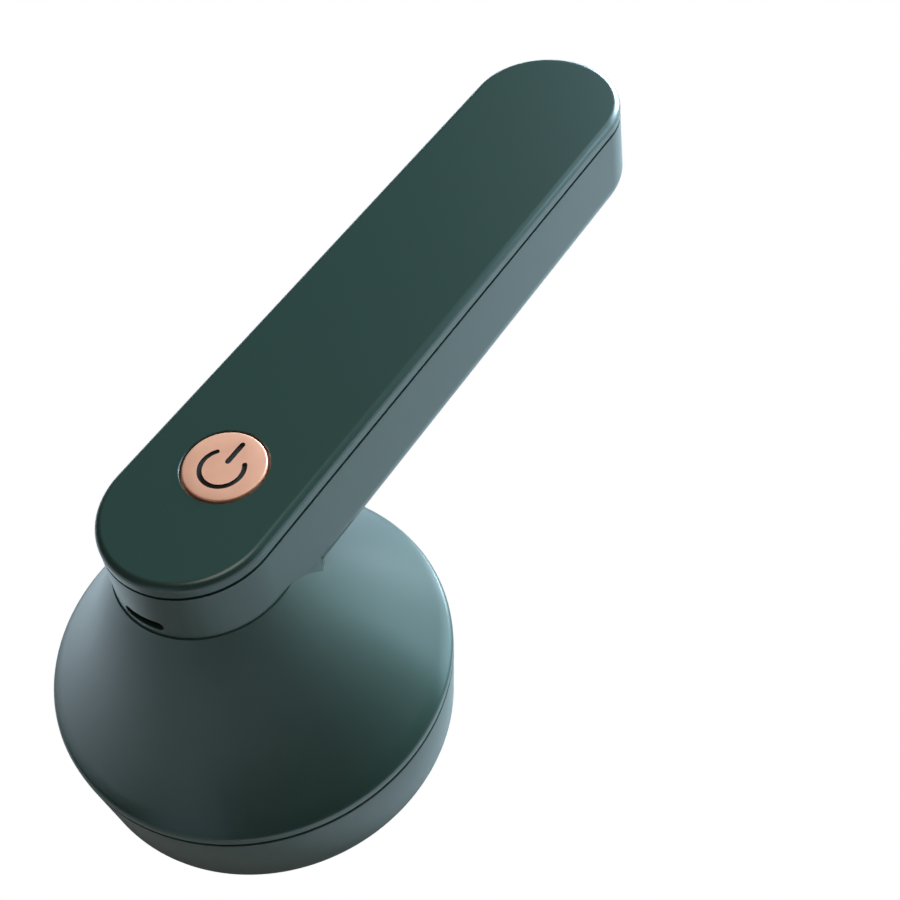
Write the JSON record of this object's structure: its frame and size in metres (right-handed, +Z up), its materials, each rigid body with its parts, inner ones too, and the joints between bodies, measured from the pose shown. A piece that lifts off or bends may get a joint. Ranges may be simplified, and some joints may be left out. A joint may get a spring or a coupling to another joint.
{
  "type": "fabric shaver",
  "caption": "Cordless fabric shaver: a slim bar handle with a round push button on a conical shaving head with a twist-off guard ring and foil.",
  "frame": {"origin": "the centre of the flat shaving face, on the head's axis", "axes": "+Z up from the shaving face to the handle's top along the head's axis, +X from the head along the handle, level with the shaving face"},
  "size_m": [0.1543, 0.07, 0.0637],
  "materials": {
    "green_plastic": "satin dark green",
    "dark_plastic": "black",
    "rose_gold": "satin rose gold",
    "steel": "plated",
    "blade_steel": "ground",
    "brass": "sintered",
    "nickel_strip": "strip",
    "board_laminate": "glass-epoxy laminate",
    "cell_sleeve": null,
    "red_insulation": "flexible insulation",
    "black_insulation": "flexible insulation",
    "white_plastic": "natural",
    "copper": "copper bars",
    "ferrite": "sintered"
  },
  "bodies": {
    "handle": {"handle_top_cover": "green_plastic", "handle_housing": "green_plastic", "switch_body": "dark_plastic", "control_board": "board_laminate", "charge_port_shell": "steel", "charge_port_tongue": "dark_plastic", "battery_cell": "cell_sleeve", "battery_tab_negative": "nickel_strip", "battery_tab_positive": "nickel_strip", "battery_lead_red": "red_insulation", "battery_lead_black": "black_insulation", "motor_lead_red": "red_insulation", "motor_lead_black": "black_insulation", "board_screw_1": "steel", "board_screw_2": "steel", "head_shell": "green_plastic", "neck_screw_1": "steel", "neck_screw_2": "steel", "neck_screw_3": "steel", "neck_screw_4": "steel", "motor_mount": "dark_plastic", "mount_screw_1": "steel", "mount_screw_2": "steel", "mount_screw_3": "steel", "motor_screw_1": "steel", "motor_screw_2": "steel", "motor_can": "steel", "motor_end_cap": "white_plastic", "motor_magnet_1": "ferrite", "motor_magnet_2": "ferrite", "motor_bushing": "brass", "interlock_spring": "steel", "interlock_switch": "dark_plastic"},
    "button": {"power_button": "rose_gold", "switch_plunger": "white_plastic"},
    "rotor": {"motor_armature": "steel", "motor_commutator": "copper", "motor_shaft": "steel", "drive_hub": "dark_plastic", "cutter_spring": "steel"},
    "cutter": {"blade_carrier": "white_plastic", "cutter_blade_1": "blade_steel", "cutter_blade_2": "blade_steel", "cutter_blade_3": "blade_steel", "cutter_blade_4": "blade_steel", "cutter_blade_5": "blade_steel", "cutter_blade_6": "blade_steel"},
    "guard": {"guard_ring": "green_plastic", "foil_mesh": "blade_steel", "foil_retainer": "dark_plastic"},
    "interlock": {"interlock_pin": "white_plastic"}
  },
  "joints": [
    {"name": "button_press", "type": "slide", "parent": "handle", "child": "button", "axis": [0, 0, -1], "range_m": [0, 0.0008], "stiffness_N_per_m": 400, "springref_m": -0.0008},
    {"name": "motor_spin", "type": "hinge", "parent": "handle", "child": "rotor", "pos_m": [0, 0, 0.03], "axis": [0, 0, 1], "continuous": true},
    {"name": "cutter_float", "type": "slide", "parent": "rotor", "child": "cutter", "axis": [0, 0, 1], "range_m": [0, 0.0008], "stiffness_N_per_m": 250, "springref_m": -0.002, "deforming": ["cutter_spring"]},
    {"name": "guard_twist", "type": "hinge", "parent": "handle", "child": "guard", "pos_m": [0, 0, 0.0145], "axis": [0, 0, 1], "range_deg": [0, 25]},
    {"name": "interlock_press", "type": "slide", "parent": "handle", "child": "interlock", "axis": [0, 0, 1], "range_m": [-0.0012, 0], "deforming": ["interlock_spring"]}
  ],
  "couplings": [
    {"joint": "interlock_press", "follows": "guard_twist", "m_per_rad": -0.002749}
  ]
}
